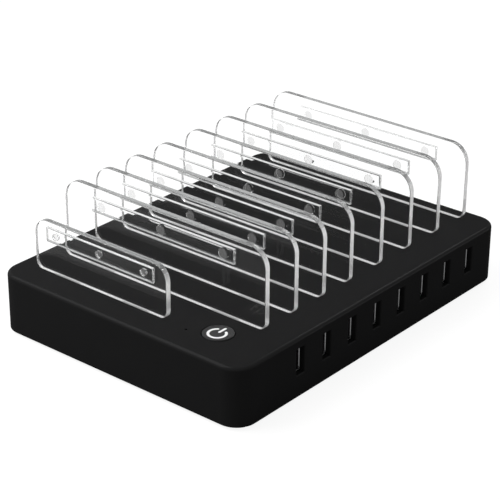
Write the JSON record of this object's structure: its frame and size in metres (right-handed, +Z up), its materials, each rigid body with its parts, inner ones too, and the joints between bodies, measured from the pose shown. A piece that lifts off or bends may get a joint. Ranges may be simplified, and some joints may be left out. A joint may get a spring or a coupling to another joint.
{
  "type": "charging station organizer",
  "caption": "Flat charging station with a row of clear lift-out dividers on top, upright USB sockets along one long side and a round power button at the front.",
  "frame": {"origin": "centre of the casing's outline, on the surface that the feet stand on", "axes": "+Z up; -Y is the end with the power button and the small divider; +X is the side with the sockets"},
  "size_m": [0.15, 0.203, 0.0715],
  "materials": {
    "casing_plastic": "black moulded plastic with a fine even texture",
    "foot_rubber": "soft black rubber",
    "screw_steel": "zinc-plated steel",
    "clear_acrylic": "clear polished acrylic",
    "clear_silicone": "clear soft silicone",
    "button_plastic": "black moulded plastic, satin",
    "symbol_white": "white inlay",
    "shell_metal": "nickel-plated sheet metal",
    "socket_plastic": "black moulded plastic",
    "contact_metal": "gold-plated contact strip",
    "board_laminate": "green board laminate",
    "component_plastic": "dark moulded resin",
    "lamp_clear": "clear moulded resin",
    "choke_wire": "enamelled copper wire",
    "fuse_glass": "clear glass tube",
    "capacitor_sleeve": "dark shrink sleeve",
    "ferrite": "dark sintered ferrite",
    "winding_tape": "yellow insulating tape over the winding",
    "sink_aluminium": "extruded aluminium"
  },
  "bodies": {
    "housing": {"upper_housing": "casing_plastic", "base_plate": "casing_plastic", "rubber_feet": "foot_rubber", "housing_screws": "screw_steel", "board_screws": "screw_steel", "power_switch": "component_plastic", "switch_board": "board_laminate", "link_connector": "component_plastic", "indicator_lamp": "lamp_clear", "main_board": "board_laminate", "usb_insulators": "socket_plastic", "usb_contacts": "contact_metal", "mains_inlet": "socket_plastic", "inlet_pins": "shell_metal", "filter_choke": "choke_wire", "fuse": "fuse_glass", "rectifier": "component_plastic", "bulk_capacitors": "capacitor_sleeve", "output_capacitors": "capacitor_sleeve", "transformer_core": "ferrite", "transformer_winding": "winding_tape", "heat_sink": "sink_aluminium", "charge_chips": "component_plastic", "usb_shell_1": "shell_metal", "usb_shell_2": "shell_metal", "usb_shell_3": "shell_metal", "usb_shell_4": "shell_metal", "usb_shell_5": "shell_metal", "usb_shell_6": "shell_metal", "usb_shell_7": "shell_metal", "usb_shell_8": "shell_metal"},
    "button": {"power_button": "button_plastic", "power_symbol": "symbol_white", "switch_plunger": "component_plastic"},
    "divider_1": {"divider_1": "clear_acrylic", "bumper_strip_1": "clear_silicone"},
    "divider_2": {"divider_2": "clear_acrylic", "bumper_strip_2": "clear_silicone"},
    "divider_3": {"divider_3": "clear_acrylic", "bumper_strip_3": "clear_silicone"},
    "divider_4": {"divider_4": "clear_acrylic", "bumper_strip_4": "clear_silicone"},
    "divider_5": {"divider_5": "clear_acrylic", "bumper_strip_5": "clear_silicone"},
    "divider_6": {"divider_6": "clear_acrylic", "bumper_strip_6": "clear_silicone"},
    "divider_7": {"divider_7": "clear_acrylic", "bumper_strip_7": "clear_silicone"},
    "divider_8": {"divider_8": "clear_acrylic", "bumper_strip_8": "clear_silicone"},
    "divider_9": {"divider_9": "clear_acrylic", "bumper_strip_9": "clear_silicone"}
  },
  "joints": [
    {"name": "power_press", "type": "slide", "parent": "housing", "child": "button", "axis": [0, 0, -1], "range_m": [0, 0.0012], "stiffness_N_per_m": 1500},
    {"name": "divider_1_lift", "type": "slide", "parent": "housing", "child": "divider_1", "axis": [0, 0, 1], "range_m": [0, 0.05]},
    {"name": "divider_2_lift", "type": "slide", "parent": "housing", "child": "divider_2", "axis": [0, 0, 1], "range_m": [0, 0.05]},
    {"name": "divider_3_lift", "type": "slide", "parent": "housing", "child": "divider_3", "axis": [0, 0, 1], "range_m": [0, 0.05]},
    {"name": "divider_4_lift", "type": "slide", "parent": "housing", "child": "divider_4", "axis": [0, 0, 1], "range_m": [0, 0.05]},
    {"name": "divider_5_lift", "type": "slide", "parent": "housing", "child": "divider_5", "axis": [0, 0, 1], "range_m": [0, 0.05]},
    {"name": "divider_6_lift", "type": "slide", "parent": "housing", "child": "divider_6", "axis": [0, 0, 1], "range_m": [0, 0.05]},
    {"name": "divider_7_lift", "type": "slide", "parent": "housing", "child": "divider_7", "axis": [0, 0, 1], "range_m": [0, 0.05]},
    {"name": "divider_8_lift", "type": "slide", "parent": "housing", "child": "divider_8", "axis": [0, 0, 1], "range_m": [0, 0.05]},
    {"name": "divider_9_lift", "type": "slide", "parent": "housing", "child": "divider_9", "axis": [0, 0, 1], "range_m": [0, 0.05]}
  ]
}
